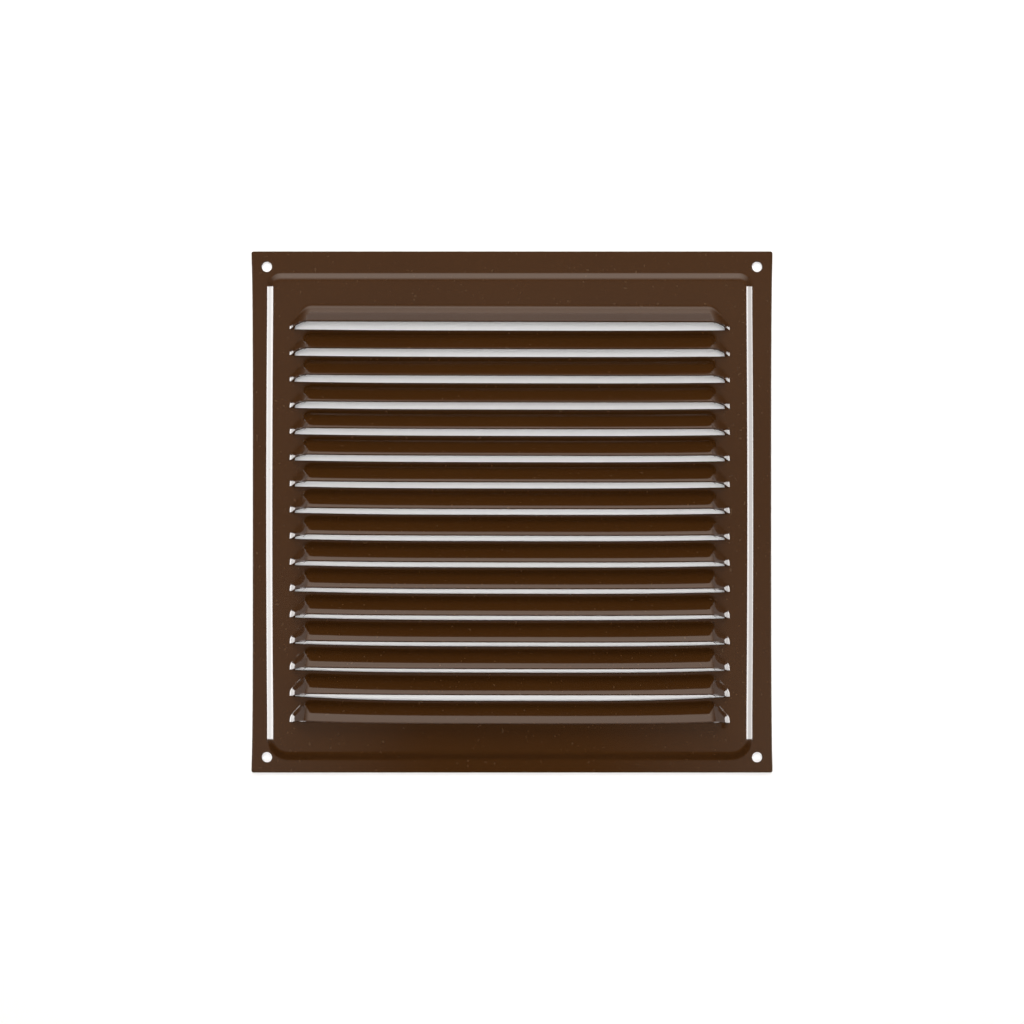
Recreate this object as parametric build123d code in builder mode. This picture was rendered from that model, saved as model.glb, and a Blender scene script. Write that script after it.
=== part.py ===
"""Square wall ventilation grille, pressed from one piece of enamelled steel sheet.

A flat flange with a screw hole in each corner surrounds a raised face, and the
face is lanced and pushed out into a column of louvres that shed rain downwards.
"""

import os
from math import cos, floor, radians, sin, tan

from build123d import *

# Steel sheet and flange, in millimetres. The wall is the plane Y = 0, the
# front looks along -Y and Z is up. The screw pattern is centred on the origin.
sheet = 0.5
plate_width = 150.0
plate_height = 150.0
plate_corner_radius = 0.6

# Screw holes in the four corners of the flange
hole_diameter = 3.0
hole_edge_distance = 4.4

# Raised face and the sloping wall that carries it. The flange is measured to the foot
# of the wall, and the press tool sits a little left of and below the plate's centre.
side_flange = 4.85
top_flange = 5.05
face_rise = 1.35
face_wall_angle = 34.0
face_corner_radius = 4.7
foot_bend_radius = 1.2
brow_bend_radius = 2.2
wall_land = 0.2
tool_shift = -0.65
tool_drop = 1.2

# Louvres. Each is a flap cut free along its lower edge and turned forwards, so
# the flap is as long as the sheet between two slits and a gap opens below it.
louvre_pitch = 7.5
louvre_angle = 47.0
louvre_bend_radius = 1.6
louvre_land = 0.3
side_margin = 4.9
slit_inset = 1.7
field_margin = 7.0
field_drop = 0.4

# Screw pattern
hole_spacing_x = plate_width - 2 * hole_edge_distance
hole_spacing_z = plate_height - 2 * hole_edge_distance

# Distances forward of the wall
flange_front = sheet
face_back = face_rise
face_front = face_rise + sheet

# Sloping wall, drawn about its sharp foot and brow corners
wall_run = face_rise / tan(radians(face_wall_angle))
face_width = plate_width - 2 * (side_flange + wall_run)
face_height = plate_height - 2 * (top_flange + wall_run)
wall_mitre = sheet * tan(radians(face_wall_angle / 2))
foot_reach = wall_run + foot_bend_radius * tan(radians(face_wall_angle / 2)) + wall_land
brow_reach = brow_bend_radius * tan(radians(face_wall_angle / 2)) + wall_land

# Louvre flap, drawn about the sharp corner of its bend at bend_height above the slit
bend_tangent = louvre_bend_radius * tan(radians(louvre_angle / 2))
bend_height = louvre_pitch - louvre_land - bend_tangent
lip_height = bend_height * (1 - cos(radians(louvre_angle)))
trim_height = lip_height / 2
trim_depth = (bend_height - trim_height) * tan(radians(louvre_angle))
window_radius = bend_height + bend_tangent + louvre_land / 2
flap_mitre = sheet * tan(radians(louvre_angle / 2))
flap_back_drop = sheet * sin(radians(louvre_angle))
flap_back_depth = sheet * cos(radians(louvre_angle))
louvre_length = face_width - 2 * side_margin
slit_length = louvre_length - 2 * slit_inset
straight_half = louvre_length / 2 - bend_height

# Column of louvres, from the top
louvre_count = floor((face_height - 2 * field_margin) / louvre_pitch)
slit_heights = [
    louvre_pitch * (louvre_count / 2 - 1 - row) - field_drop for row in range(louvre_count)
]
louvre_places = [(tool_shift, 0, height) for height in slit_heights]


def wall_plane(distance, shift=0, drop=0):
    """Plane parallel to the wall, this far in front of it."""
    return Plane(origin=(shift, -distance, -drop), x_dir=(1, 0, 0), z_dir=(0, -1, 0))


# Sloping wall of the raised face: one bent section, carried along half the top,
# round a corner and down half a side, then mirrored to go all the way round.
brow_section_plane = Plane(origin=(0, 0, face_height / 2), x_dir=(0, 0, 1), z_dir=(1, 0, 0))
corner_x = face_width / 2 - face_corner_radius
corner_z = face_height / 2 - face_corner_radius

with BuildPart() as wall:
    with BuildSketch(brow_section_plane) as top_section:
        with BuildLine():
            FilletPolyline(
                (foot_reach, flange_front),
                (wall_run, flange_front),
                (0, face_front),
                (-brow_reach, face_front),
                radius=[foot_bend_radius, brow_bend_radius],
            )
            Polyline(
                (-brow_reach, face_front),
                (-brow_reach, face_back),
                (-wall_mitre, face_back),
                (wall_run - wall_mitre, 0),
                (foot_reach, 0),
                (foot_reach, flange_front),
            )
        make_face()
    extrude(amount=corner_x)
    with BuildSketch(brow_section_plane.offset(corner_x)):
        add(top_section.sketch_local)
    revolve(axis=Axis((corner_x, 0, corner_z), (0, 1, 0)), revolution_arc=90)
    side_face = wall.faces().filter_by(Axis.Z).sort_by(Axis.Z)[0]
    extrude(side_face, amount=corner_z)
    mirror(about=Plane.YZ)
    mirror(about=Plane.XY)

# One louvre about its own slit line: the bent section follows the flap's root,
# straight along the top and a quarter turn down each end. Past the ends of the
# slit the corner stays closed. The mouth plane trims the flap's free edge.
flap_section_plane = Plane(origin=(-straight_half, 0, 0), x_dir=(0, 0, 1), z_dir=(1, 0, 0))
flap_end_axis = Axis((-straight_half, 0, 0), (0, -1, 0))
mouth_plane = Plane(
    origin=(0, -face_front, 0),
    x_dir=(1, 0, 0),
    z_dir=(0, sin(radians(louvre_angle / 2)), cos(radians(louvre_angle / 2))),
)
flap_line = [
    (window_radius, face_front),
    (bend_height, face_front),
    (trim_height, face_front + trim_depth),
]

with BuildPart() as closed_end:
    with BuildSketch(flap_section_plane):
        with BuildLine():
            FilletPolyline(*flap_line, radius=louvre_bend_radius)
            Polyline(flap_line[-1], (trim_height, face_back), (window_radius, face_back), flap_line[0])
        make_face()
    revolve(axis=flap_end_axis, revolution_arc=90)
    split(bisect_by=Plane.YZ.offset(-slit_length / 2), keep=Keep.BOTTOM)

with BuildPart() as louvre:
    with BuildSketch(flap_section_plane) as flap_section:
        with BuildLine():
            FilletPolyline(*flap_line, radius=louvre_bend_radius)
            Polyline(
                flap_line[-1],
                (trim_height - flap_back_drop, face_front + trim_depth - flap_back_depth),
                (bend_height - flap_mitre, face_back),
                (window_radius, face_back),
                flap_line[0],
            )
        make_face()
    extrude(amount=straight_half)
    revolve(flap_section.sketch, axis=flap_end_axis, revolution_arc=90)
    add(closed_end.part)
    split(bisect_by=mouth_plane, keep=Keep.TOP)
    mirror(about=Plane.YZ)

# Window that a louvre fills in the face
with BuildPart() as window:
    with BuildSketch(wall_plane(face_back)):
        with Locations((0, window_radius / 2)):
            Rectangle(2 * straight_half, window_radius)
        with Locations((-straight_half, 0), (straight_half, 0)):
            Circle(window_radius)
        with Locations((0, -window_radius / 2)):
            Rectangle(2 * (straight_half + window_radius), window_radius, mode=Mode.SUBTRACT)
    extrude(amount=sheet)

# The whole grille in one sheet: flange, sloping wall, face and louvres, then the
# screw holes, which are punched last
with BuildPart() as louvre_panel:
    with BuildSketch(wall_plane(0)):
        RectangleRounded(plate_width, plate_height, plate_corner_radius)
        with Locations((tool_shift, -tool_drop)):
            RectangleRounded(
                face_width + 2 * foot_reach,
                face_height + 2 * foot_reach,
                face_corner_radius + foot_reach,
                mode=Mode.SUBTRACT,
            )
    extrude(amount=sheet)
    with BuildSketch(wall_plane(face_back, tool_shift, tool_drop)):
        RectangleRounded(
            face_width - 2 * brow_reach, face_height - 2 * brow_reach, face_corner_radius - brow_reach
        )
    extrude(amount=sheet)
    with Locations(*louvre_places):
        add(window.part, mode=Mode.SUBTRACT)
        add(louvre.part)
    with Locations((tool_shift, 0, -tool_drop)):
        add(wall.part)
    with BuildSketch(wall_plane(0)):
        with GridLocations(hole_spacing_x, hole_spacing_z, 2, 2):
            Circle(hole_diameter / 2)
    extrude(amount=face_front, mode=Mode.SUBTRACT)

louvre_panel.part.label = "louvre_panel"

os.makedirs("parts", exist_ok=True)
export_step(louvre_panel.part, "parts/louvre_panel.step")
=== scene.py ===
"""Looks of a square wall ventilation grille: one pressed steel sheet in glossy brown enamel."""

import math

import bmesh
import bpy
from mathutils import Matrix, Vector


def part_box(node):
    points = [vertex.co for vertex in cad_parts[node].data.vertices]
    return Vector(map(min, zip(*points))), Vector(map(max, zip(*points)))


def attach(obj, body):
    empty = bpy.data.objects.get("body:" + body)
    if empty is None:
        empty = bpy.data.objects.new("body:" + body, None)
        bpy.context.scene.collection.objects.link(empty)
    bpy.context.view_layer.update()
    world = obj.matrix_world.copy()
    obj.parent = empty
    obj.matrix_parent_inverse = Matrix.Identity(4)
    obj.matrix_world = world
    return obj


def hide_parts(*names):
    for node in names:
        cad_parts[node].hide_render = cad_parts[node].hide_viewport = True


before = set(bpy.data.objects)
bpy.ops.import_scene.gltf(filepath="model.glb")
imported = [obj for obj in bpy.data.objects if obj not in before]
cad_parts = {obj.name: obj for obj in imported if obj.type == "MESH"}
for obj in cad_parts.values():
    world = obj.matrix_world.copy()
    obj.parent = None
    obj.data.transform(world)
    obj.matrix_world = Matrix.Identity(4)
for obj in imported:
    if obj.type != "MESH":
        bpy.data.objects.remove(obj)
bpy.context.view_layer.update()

# Louvre hood. A louvre is a flap of the sheet itself: the press lances it free along
# its lower edge and pushes it forwards, so it stays joined to the face along its top
# and round both ends. One hood is bent up here and then repeated down the face.
mm = 0.001
sheet = 0.5 * mm
face_rise = 1.35 * mm
wall_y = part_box("louvre_panel")[1].y
flange_y = wall_y - sheet
face_y = flange_y - face_rise
tool_shift = -0.65 * mm
tool_drop = 1.2 * mm

louvre_count = 16
louvre_pitch = 7.5 * mm
louvre_angle = math.radians(47)
louvre_bend_radius = 1.6 * mm
louvre_land = 0.15 * mm
louvre_length = 126.5 * mm
slit_inset = 1.7 * mm
top_slit_height = 52.1 * mm

bend_tangent = louvre_bend_radius * math.tan(louvre_angle / 2)
bend_height = louvre_pitch - 2 * louvre_land - bend_tangent
window_radius = bend_height + bend_tangent + louvre_land
straight_half = louvre_length / 2 - bend_height
slit_half = louvre_length / 2 - slit_inset
flap_length = bend_height - bend_tangent

bend_steps = 8
flap_rows = 10
hood_columns = 14
end_steps = 16
near = 0.001 * mm
merge_distance = 0.005 * mm


def start_editing(name):
    """Name the new object and go on in edit mode with all of it selected."""
    piece = bpy.context.active_object
    piece.name = name
    bpy.ops.object.transform_apply()
    bpy.ops.object.mode_set(mode="EDIT")
    bpy.ops.mesh.select_all(action="SELECT")
    return piece


def select_where(kind, test):
    """In edit mode, select only the vertices, edges or faces that pass the test."""
    bpy.ops.mesh.select_all(action="DESELECT")
    bpy.ops.mesh.select_mode(type=kind)
    mesh = bmesh.from_edit_mesh(bpy.context.edit_object.data)
    for element in {"VERT": mesh.verts, "EDGE": mesh.edges, "FACE": mesh.faces}[kind]:
        if test(element):
            element.select_set(True)
    mesh.select_flush_mode()
    bmesh.update_edit_mesh(bpy.context.edit_object.data)


def extrude_by(x, y, z):
    """Extrude what is selected by a step along each axis."""
    bpy.ops.mesh.extrude_region_move(TRANSFORM_OT_translate={"value": (x, y, z)})


def on_mouth_plane(vertex):
    """The hood's free edge lies in a plane through its slit, half as steep as the flap."""
    height = vertex.co.z * math.cos(louvre_angle / 2)
    depth = (vertex.co.y - face_y) * math.sin(louvre_angle / 2)
    return abs(height + depth) < near


bpy.ops.object.select_all(action="DESELECT")
bpy.ops.mesh.primitive_plane_add(size=sheet, location=(-straight_half, face_y, window_radius))
hood = start_editing("louvre_sheet")
bpy.ops.mesh.merge(type="CENTER")

# The flap's section: a land, the bend and the straight flap down to its lip.
extrude_by(0, 0, -louvre_land)
bpy.ops.mesh.spin(
    steps=bend_steps,
    angle=louvre_angle,
    center=(-straight_half, face_y - louvre_bend_radius, bend_height + bend_tangent),
    axis=(1, 0, 0),
)
flap_step = flap_length / flap_rows
for row in range(flap_rows):
    extrude_by(0, -flap_step * math.sin(louvre_angle), -flap_step * math.cos(louvre_angle))

# The section runs straight to the middle of the hood and a quarter turn round its end.
bpy.ops.mesh.select_all(action="SELECT")
for column in range(hood_columns):
    extrude_by(straight_half / hood_columns, 0, 0)
select_where("EDGE", lambda e: all(v.co.x < near - straight_half for v in e.verts))
bpy.ops.mesh.spin(
    steps=end_steps,
    angle=math.radians(90),
    center=(-straight_half, face_y, 0),
    axis=(0, 1, 0),
)
bpy.ops.mesh.select_all(action="SELECT")
bpy.ops.mesh.bisect(
    plane_co=(0, face_y, 0),
    plane_no=(0, math.sin(louvre_angle / 2), math.cos(louvre_angle / 2)),
    clear_inner=True,
    threshold=near,
)

# Past the end of the slit the corner was stretched, not cut, so it stays closed.
select_where(
    "EDGE",
    lambda e: e.is_boundary and all(on_mouth_plane(v) and v.co.x < -slit_half for v in e.verts),
)
extrude_by(0, 0, 0)
bpy.ops.transform.resize(value=(1, 0, 0), center_override=(0, face_y, 0))
bpy.ops.mesh.select_all(action="SELECT")
bpy.ops.mesh.remove_doubles(threshold=merge_distance)
bpy.ops.object.mode_set(mode="OBJECT")
bpy.ops.object.modifier_add(type="MIRROR")
bpy.ops.object.modifier_apply(modifier="Mirror")

# The slit itself is one straight cut between the two closed corners.
bpy.ops.object.mode_set(mode="EDIT")
slit_start = min(
    (v.co.x for v in hood.data.vertices if abs(v.co.z) < near and v.co.x < 0), key=abs
)
select_where("VERT", lambda v: abs(v.co.z) < near and abs(v.co.x - slit_start) < near)
slit_columns = 2 * hood_columns
for column in range(slit_columns):
    extrude_by(-2 * slit_start / slit_columns, 0, 0)

# Sixteen hoods stand one pitch apart, from the top slit down.
bpy.ops.mesh.select_all(action="SELECT")
bpy.ops.mesh.remove_doubles(threshold=merge_distance)
bpy.ops.transform.translate(value=(tool_shift, 0, top_slit_height))
for row in range(1, louvre_count):
    bpy.ops.mesh.duplicate_move(TRANSFORM_OT_translate={"value": (0, 0, -louvre_pitch)})
bpy.ops.object.mode_set(mode="OBJECT")

# Wall of the raised face. The same press stroke lifts the face off the flange on a
# soft sloping wall with a hollow bend at its foot and a full one at its brow. The
# tool sits a little left of and below the plate's centre.
foot_width = 141.034 * mm
foot_height = 140.636 * mm
foot_top_radius = 4.8 * mm
foot_bottom_radius = 7.07 * mm
wall_angle = math.radians(34)
foot_bend_radius = 1.2 * mm
brow_bend_radius = 2.2 * mm
wall_corner_steps = 14
wall_bend_steps = 7
wall_columns = 20

slope_rise = face_rise - (foot_bend_radius + brow_bend_radius) * (1 - math.cos(wall_angle))
upright = (math.radians(90), 0, 0)


def rounded_plate(name, width, height, top_radius, bottom_radius, steps, columns, centre):
    """A flat plate facing forwards with round corners and divided straight sides."""
    bpy.ops.object.select_all(action="DESELECT")
    bpy.ops.mesh.primitive_plane_add(size=1, location=centre, rotation=upright)
    bpy.context.active_object.scale = (width, height, 1)
    plate = start_editing(name)
    top_z = centre[2] + height / 2
    bottom_z = centre[2] - height / 2
    for level, radius in ((top_z, top_radius), (bottom_z, bottom_radius)):
        select_where("VERT", lambda v: abs(v.co.z - level) < near)
        bpy.ops.mesh.bevel(
            offset=radius, offset_type="ABSOLUTE", segments=steps, affect="VERTICES"
        )
    select_where("EDGE", lambda e: e.calc_length() > max(top_radius, bottom_radius))
    bpy.ops.mesh.subdivide(number_cuts=columns - 1)
    return plate


def bend_insets(radius, tilt_from, tilt_to):
    """Run and rise of each short facet round a bend between two slopes."""
    tilts = [
        tilt_from + (tilt_to - tilt_from) * i / wall_bend_steps
        for i in range(wall_bend_steps + 1)
    ]
    for low, high in zip(tilts, tilts[1:]):
        run = radius * abs(math.sin(high) - math.sin(low))
        rise = radius * abs(math.cos(high) - math.cos(low))
        yield run, rise


wall = rounded_plate(
    "wall",
    width=foot_width,
    height=foot_height,
    top_radius=foot_top_radius,
    bottom_radius=foot_bottom_radius,
    steps=wall_corner_steps,
    columns=wall_columns,
    centre=(tool_shift, flange_y, -tool_drop),
)
wall_insets = [
    *bend_insets(foot_bend_radius, 0, wall_angle),
    (slope_rise / math.tan(wall_angle), slope_rise),
    *bend_insets(brow_bend_radius, wall_angle, 0),
]
select_where("FACE", lambda f: True)
for run, rise in wall_insets:
    bpy.ops.mesh.inset(thickness=run, depth=rise)
bpy.ops.mesh.delete(type="ONLY_FACE")
bpy.ops.object.mode_set(mode="OBJECT")

# Flange. The rim of the sheet stays flat against the wall behind it, with a punched
# screw hole in each corner.
plate_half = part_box("louvre_panel")[1].x
plate_corner_radius = 0.6 * mm
plate_corner_steps = 5
plate_columns = 24
hole_radius = 1.5 * mm
hole_edge_distance = 4.4 * mm
hole_offset = plate_half - hole_edge_distance
hole_sides = 48

plate = rounded_plate(
    "plate",
    width=2 * plate_half,
    height=2 * plate_half,
    top_radius=plate_corner_radius,
    bottom_radius=plate_corner_radius,
    steps=plate_corner_steps,
    columns=plate_columns,
    centre=(0, flange_y, 0),
)
select_where("FACE", lambda f: True)
bpy.ops.mesh.delete(type="ONLY_FACE")
bpy.ops.object.mode_set(mode="OBJECT")

pieces = [hood, wall, plate]
for x in (-hole_offset, hole_offset):
    for z in (-hole_offset, hole_offset):
        bpy.ops.mesh.primitive_circle_add(
            vertices=hole_sides, radius=hole_radius, location=(x, flange_y, z), rotation=upright
        )
        pieces.append(bpy.context.active_object)
bpy.ops.object.select_all(action="DESELECT")
for piece in pieces:
    piece.select_set(True)
bpy.context.view_layer.objects.active = hood
bpy.ops.object.join()
panel = bpy.context.active_object

# The flat parts of the sheet are filled in between the outlines that are now in place.
bpy.ops.object.mode_set(mode="EDIT")
bpy.ops.mesh.select_all(action="SELECT")
bpy.ops.mesh.remove_doubles(threshold=merge_distance)
for level in (flange_y, face_y):
    select_where(
        "EDGE",
        lambda e: len(e.link_faces) < 2 and all(abs(v.co.y - level) < near for v in e.verts),
    )
    bpy.ops.mesh.fill(use_beauty=True)
bpy.ops.mesh.select_all(action="SELECT")
bpy.ops.mesh.normals_make_consistent(inside=False)

# A narrow band of even faces follows every cut edge of the sheet.
cut_band = 0.12 * mm

bpy.ops.mesh.inset(thickness=cut_band, use_even_offset=False)
bpy.ops.object.mode_set(mode="OBJECT")

# Pressing leaves the sheet a little out of true. The strips between the slits sag, more
# so further down, the lips hang low and the last one almost shuts, and the hoods' ends
# are drawn in and slanted. The rows run off level, and the sides of the rim are drawn in.
first_sag = 0.27 * mm
sag_growth = 0.041 * mm
last_strip_sag = 1.4 * mm
sag_fullness = 3.5
lip_drop = 0.44 * mm
lip_hold = {1: 1, louvre_count - 1: 0.75}
usual_lip_hold = 0.4
last_lip_drop = 1 * mm
last_lip_fullness = 0.3
field_lift = 0.17 * mm
field_slant = 0.0022
end_lean = 0.9 * mm
end_draw_in = 1 * mm
end_drop = 1 * mm
end_slant = 1.9 * mm
shoulder_start = 0.23
shoulder_peak = 2.1
flange_draw_in = 0.36 * mm
wall_draw_in = 0.1 * mm
wall_bow = 0.5 * mm
corner_hold_start = 0.85
corner_hold_length = 0.07
field_rim = 2 * mm
wall_middle = 1.2 * mm

lip_depth = face_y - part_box("louvre_panel")[0].y
hood_half = louvre_length / 2
field_half = hood_half + field_rim
wall_half = foot_width / 2 - wall_middle


def strip_sag(slit):
    """Sag of the strip below a slit, counted from 1 at the top; the field's rim has none."""
    if slit < 1 or slit == louvre_count:
        return 0
    if slit == louvre_count - 1:
        return last_strip_sag
    return first_sag + sag_growth * (slit - 1)


def louvre_move(co):
    """How far a point of the louvres has moved sideways and up."""
    hood_number = math.ceil((top_slit_height - co.z - near) / louvre_pitch) + 1
    from_middle = co.x - tool_shift
    if not 1 <= hood_number <= louvre_count or abs(from_middle) > field_half:
        return 0, 0
    up_hood = (co.z - top_slit_height) / louvre_pitch + hood_number - 1
    out = (face_y - co.y) / lip_depth
    sag = strip_sag(hood_number) * (1 - up_hood) + strip_sag(hood_number - 1) * up_hood
    across = 1 - min(abs(from_middle) / hood_half, 1) ** sag_fullness
    if hood_number == louvre_count:
        drop = sag * across + last_lip_drop * out**2 * across**last_lip_fullness
    else:
        held = lip_hold.get(hood_number, usual_lip_hold) * out
        drop = sag * (1 - held) * across + lip_drop * out**3
    round_end = (abs(from_middle) - straight_half) / (hood_half - straight_half)
    round_end = min(max(round_end, 0), 1)
    past_slit = max((abs(from_middle) - slit_half) / (field_half - slit_half), 0)
    shoulder = min(max((up_hood - shoulder_start) / (1 - shoulder_start), 0), 1)
    slant = end_slant * shoulder_peak * shoulder * (1 - shoulder**3)
    inward = (end_lean * out + slant) * round_end + end_draw_in * past_slit
    drop += end_drop * out * round_end * (hood_number - 1) / (louvre_count - 1)
    lift = field_lift - field_slant * co.x - drop
    return math.copysign(inward, -from_middle), lift


def rim_move(co):
    """How far a point beside the louvres has moved sideways; the screw holes stay put."""
    up = min(abs(co.z) / plate_half, 1)
    corner_hold = min(max((up - corner_hold_start) / corner_hold_length, 0), 1)
    wall_inward = (wall_draw_in + wall_bow * up**2) * (1 - corner_hold)
    edge_inward = flange_draw_in * (1 - up**4)
    reach = abs(co.x - tool_shift)
    if reach < wall_half:
        inward = wall_inward * max(reach - field_half, 0) / (wall_half - field_half)
    else:
        edge = min((reach - wall_half) / (plate_half - wall_half), 1)
        inward = wall_inward + (edge_inward - wall_inward) * edge
    return math.copysign(inward, -co.x)


bpy.ops.object.mode_set(mode="EDIT")
pressed_mesh = bmesh.from_edit_mesh(panel.data)
for vertex in pressed_mesh.verts:
    sideways, lift = louvre_move(vertex.co) if vertex.co.y < face_y + near else (0, 0)
    vertex.co.x += rim_move(vertex.co) + sideways
    vertex.co.z += lift
bmesh.update_edit_mesh(panel.data)
bpy.ops.object.mode_set(mode="OBJECT")

# The sheet gets its thickness, and a drop of enamel rounds every cut edge.
enamel_edge = 0.1 * mm
edge_segments = 2
smooth_angle = math.radians(40)

front_faces = len(panel.data.polygons)
bpy.ops.object.modifier_add(type="SOLIDIFY")
solidify = panel.modifiers["Solidify"]
solidify.thickness = sheet
solidify.offset = -1
bpy.ops.object.modifier_apply(modifier="Solidify")

bpy.ops.object.mode_set(mode="EDIT")
select_where("FACE", lambda f: f.index >= 2 * front_faces)
bpy.ops.mesh.region_to_loop()
bpy.ops.mesh.bevel(offset=enamel_edge, segments=edge_segments, loop_slide=False)
bpy.ops.object.mode_set(mode="OBJECT")

bpy.ops.object.shade_smooth_by_angle(angle=smooth_angle)
bpy.ops.object.modifier_add(type="WEIGHTED_NORMAL")
panel.modifiers["WeightedNormal"].keep_sharp = True
bpy.ops.object.modifier_apply(modifier="WeightedNormal")

# Enamel. A thick stoved coat of glossy brown paint: it levels itself into long soft
# waves along the sheet, with a faint orange peel, a few specks of dust under the gloss
# and slightly uneven depth of colour.
enamel_brown = (0.058, 0.0215, 0.0048, 1)
enamel_deep = (0.054, 0.0197, 0.0043, 1)
dust_pale = (0.085, 0.046, 0.022, 1)
depth_scale = 25
dust_scale = 1300
wave_scale = 40
wave_stretch = (0.35, 1, 1)
wave_height = 0.05 * mm
peel_scale = 900
peel_height = 0.002 * mm

enamel = bpy.data.materials.new("brown_enamel")
enamel.use_nodes = True
coat = enamel.node_tree
gloss = coat.nodes["Principled BSDF"]
gloss.inputs["Roughness"].default_value = 0.1
gloss.inputs["Coat Weight"].default_value = 1
gloss.inputs["Coat Roughness"].default_value = 0.05
gloss.inputs["Coat IOR"].default_value = 1.55
on_sheet = coat.nodes.new("ShaderNodeTexCoord").outputs["Object"]


def noise(scale, detail, stretch=(1, 1, 1)):
    """Noise over the sheet, drawn out where its pattern is stretched."""
    mapping = coat.nodes.new("ShaderNodeMapping")
    mapping.inputs["Scale"].default_value = stretch
    coat.links.new(on_sheet, mapping.inputs["Vector"])
    texture = coat.nodes.new("ShaderNodeTexNoise")
    texture.inputs["Scale"].default_value = scale
    texture.inputs["Detail"].default_value = detail
    coat.links.new(mapping.outputs["Vector"], texture.inputs["Vector"])
    return texture.outputs["Fac"]


def bump(height, distance, after=None):
    """Bump by a height pattern, laid over an earlier bump."""
    node = coat.nodes.new("ShaderNodeBump")
    node.inputs["Strength"].default_value = 1
    node.inputs["Distance"].default_value = distance
    coat.links.new(height, node.inputs["Height"])
    if after:
        coat.links.new(after, node.inputs["Normal"])
    return node.outputs["Normal"]


def mix_colours(tree, factor, first, second, blend_type="MIX"):
    """Mix two colours, each a constant or another node's output, in a node tree."""
    mix = tree.nodes.new("ShaderNodeMix")
    mix.data_type = "RGBA"
    mix.blend_type = blend_type
    for value, socket in ((factor, "Factor_Float"), (first, "A_Color"), (second, "B_Color")):
        target = next(i for i in mix.inputs if i.identifier == socket)
        if isinstance(value, bpy.types.NodeSocket):
            tree.links.new(value, target)
        else:
            target.default_value = value
    return next(o for o in mix.outputs if o.identifier == "Result_Color")


def blend(pattern, low, high, first, second):
    """Colour that goes from the first to the second as a pattern rises from low to high."""
    amount = coat.nodes.new("ShaderNodeMapRange")
    amount.inputs["From Min"].default_value = low
    amount.inputs["From Max"].default_value = high
    coat.links.new(pattern, amount.inputs["Value"])
    return mix_colours(coat, amount.outputs["Result"], first, second)


long_waves = bump(noise(wave_scale, 1, wave_stretch), wave_height)
orange_peel = bump(noise(peel_scale, 2), peel_height, long_waves)
coat.links.new(orange_peel, gloss.inputs["Normal"])
coat.links.new(orange_peel, gloss.inputs["Coat Normal"])
uneven_brown = blend(noise(depth_scale, 3), 0.35, 0.65, enamel_brown, enamel_deep)
dusty_brown = blend(noise(dust_scale, 0), 0.79, 0.85, uneven_brown, dust_pale)
coat.links.new(dusty_brown, gloss.inputs["Base Color"])

panel.data.materials.clear()
panel.data.materials.append(enamel)
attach(panel, "root")
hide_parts("louvre_panel")

# Camera, square on to the grille.
camera_distance = 293.5 * mm
lens_length = 35.8
film_width = 36

bpy.ops.object.camera_add(location=(0, -camera_distance, 0), rotation=upright)
camera = bpy.context.active_object
camera.data.lens = lens_length
camera.data.sensor_width = film_width
bpy.context.scene.camera = camera

# Studio. The grille lies against white paper, over a pale floor. A lamp above and one in
# front light it softly, and two tall softboxes are mirrored in its sides.
paper_gap = 0.2 * mm
paper_size = 2
paper_glow = 0.2
paper_white = 0.9
paper_in_gloss = 0.35
floor_pale = (0.8, 0.8, 0.8, 1)
floor_size = 4
floor_height = -0.6

paper = bpy.data.materials.new("backdrop_paper")
paper.use_nodes = True
paper_nodes = paper.node_tree.nodes
paper_links = paper.node_tree.links
matt = paper_nodes["Principled BSDF"]
matt.inputs["Roughness"].default_value = 1
matt.inputs["Specular IOR Level"].default_value = 0
matt.inputs["Emission Color"].default_value = (1, 1, 1, 1)
seen_straight = paper_nodes.new("ShaderNodeLightPath").outputs["Is Camera Ray"]
paper_levels = {"Emission Strength": (0, paper_glow), "Base Color": (paper_in_gloss, paper_white)}
for socket, (mirrored, straight) in paper_levels.items():
    level = paper_nodes.new("ShaderNodeMapRange")
    level.inputs["To Min"].default_value = mirrored
    level.inputs["To Max"].default_value = straight
    paper_links.new(seen_straight, level.inputs["Value"])
    paper_links.new(level.outputs["Result"], matt.inputs[socket])
clear = paper_nodes.new("ShaderNodeBsdfTransparent")
one_sided = paper_nodes.new("ShaderNodeMixShader")
behind = paper_nodes.new("ShaderNodeNewGeometry").outputs["Backfacing"]
paper_links.new(behind, one_sided.inputs["Fac"])
paper_links.new(matt.outputs["BSDF"], one_sided.inputs[1])
paper_links.new(clear.outputs["BSDF"], one_sided.inputs[2])
paper_links.new(one_sided.outputs["Shader"], paper_nodes["Material Output"].inputs["Surface"])

bpy.ops.mesh.primitive_plane_add(
    size=paper_size, location=(0, wall_y + paper_gap, 0), rotation=upright
)
backdrop = bpy.context.active_object
backdrop.name = "backdrop"
backdrop.data.materials.append(paper)
backdrop.visible_shadow = False
backdrop.visible_diffuse = False

floor_paint = bpy.data.materials.new("floor_paint")
floor_paint.use_nodes = True
floor_shader = floor_paint.node_tree.nodes["Principled BSDF"]
floor_shader.inputs["Base Color"].default_value = floor_pale
bpy.ops.mesh.primitive_plane_add(size=floor_size, location=(0, 0, floor_height))
floor = bpy.context.active_object
floor.name = "floor"
floor.data.materials.append(floor_paint)
floor.visible_glossy = False


def softbox(name, location, width, height, radiance):
    """Rectangular lamp that faces the grille, set by how bright it looks."""
    bpy.ops.object.light_add(type="AREA", location=location)
    lamp = bpy.context.active_object
    lamp.name = name
    lamp.rotation_euler = (-lamp.location).to_track_quat("-Z", "Y").to_euler()
    lamp.data.shape = "RECTANGLE"
    lamp.data.size = width
    lamp.data.size_y = height
    lamp.data.energy = radiance * 4 * width * height
    return lamp


side_distance = 1.5
side_height = 0.87


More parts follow.
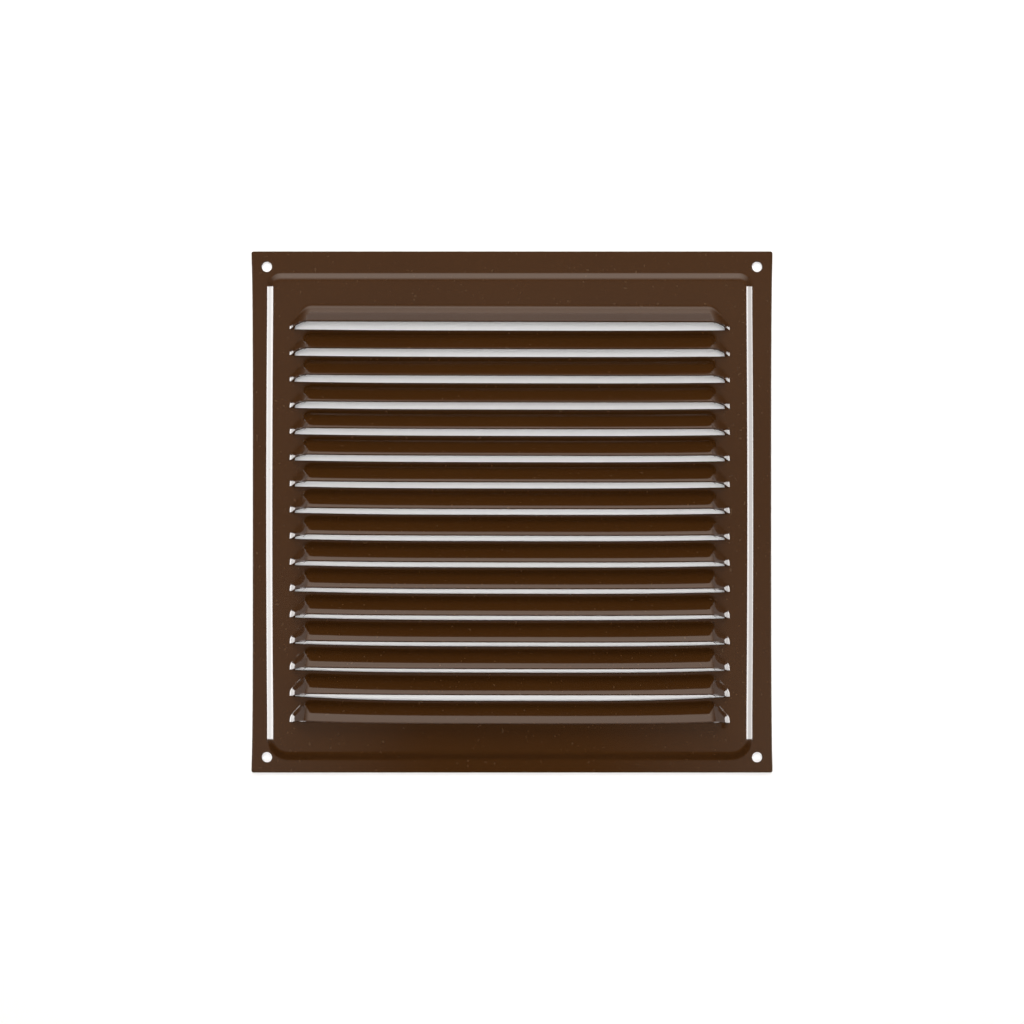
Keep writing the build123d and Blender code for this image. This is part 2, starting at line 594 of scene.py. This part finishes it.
def side_softbox(name, side, from_angle, to_angle, radiance):
    """Upright softbox between two angles off the camera's axis, seen only in the gloss."""
    middle = math.radians((from_angle + to_angle) / 2)
    width = 2 * side_distance * math.tan(math.radians((to_angle - from_angle) / 2))
    location = (side * side_distance * math.sin(middle), -side_distance * math.cos(middle), 0)
    softbox(name, location, width, side_height, radiance).visible_diffuse = False


side_softbox("left_softbox", side=-1, from_angle=50, to_angle=79, radiance=8)
side_softbox("left_softbox_rim", side=-1, from_angle=79, to_angle=88, radiance=5.2)
side_softbox("right_softbox", side=1, from_angle=52, to_angle=79, radiance=7)
side_softbox("right_softbox_rim", side=1, from_angle=79, to_angle=88, radiance=3.8)
top_lamp = softbox("top_lamp", (0, -0.43, 0.43), width=0.6, height=0.3, radiance=2.75)
top_lamp.visible_glossy = False
front_lamp = softbox("front_lamp", (0, -0.9, 0), width=0.5, height=0.31, radiance=6.5)
front_lamp.visible_glossy = False

# The room shows only in the gloss: a bright ceiling, dim walls and a dark spot low in the
# middle. To the camera it is plain white.
room_tint = (1.1, 0.98, 0.88)
upper_room = [(0, 0.14), (0.2, 0.18), (0.3, 0.1), (0.6, 0.1), (0.75, 0.42), (0.97, 0.98)]

world = bpy.data.worlds.new("studio")
bpy.context.scene.world = world
world.use_nodes = True
room = world.node_tree
direction = room.nodes.new("ShaderNodeSeparateXYZ")
outwards = room.nodes.new("ShaderNodeTexCoord").outputs["Generated"]
room.links.new(outwards, direction.inputs["Vector"])


def glow_ramp(axis, stops, tint=(1, 1, 1)):
    """Brightness of the room along one axis of direction, as pairs of place and level."""
    remap = room.nodes.new("ShaderNodeMapRange")
    remap.inputs["From Min"].default_value = -1
    room.links.new(direction.outputs[axis], remap.inputs["Value"])
    ramp = room.nodes.new("ShaderNodeValToRGB")
    room.links.new(remap.outputs["Result"], ramp.inputs["Fac"])
    while len(ramp.color_ramp.elements) < len(stops):
        ramp.color_ramp.elements.new(0.5)
    for element, (position, level) in zip(ramp.color_ramp.elements, stops):
        element.position = (position + 1) / 2
        element.color = (level * tint[0], level * tint[1], level * tint[2], 1)
    return ramp.outputs["Color"]


low_middle = glow_ramp("Z", [(-0.25, 0.01), *upper_room], room_tint)
low_sides = glow_ramp("Z", [(-0.45, 0.01), (-0.28, 0.25), *upper_room], room_tint)
towards_sides = glow_ramp("X", [(-0.24, 1), (-0.08, 0), (0.08, 0), (0.24, 1)])
by_height = mix_colours(room, towards_sides, low_middle, low_sides)
by_depth = glow_ramp("Y", [(-0.2, 1), (0.25, 0.45), (0.6, 0.1)])
by_side = glow_ramp("X", [(-0.97, 0.12), (-0.86, 1), (0.86, 1), (0.97, 0.12)])
lit_front = mix_colours(room, 1, by_height, by_depth, "MULTIPLY")
lit_room = mix_colours(room, 1, lit_front, by_side, "MULTIPLY")
to_camera = room.nodes.new("ShaderNodeLightPath").outputs["Is Camera Ray"]
white_to_camera = mix_colours(room, to_camera, lit_room, (1, 1, 1, 1))
room.links.new(white_to_camera, room.nodes["Background"].inputs["Color"])

bpy.context.scene.view_settings.view_transform = "Standard"
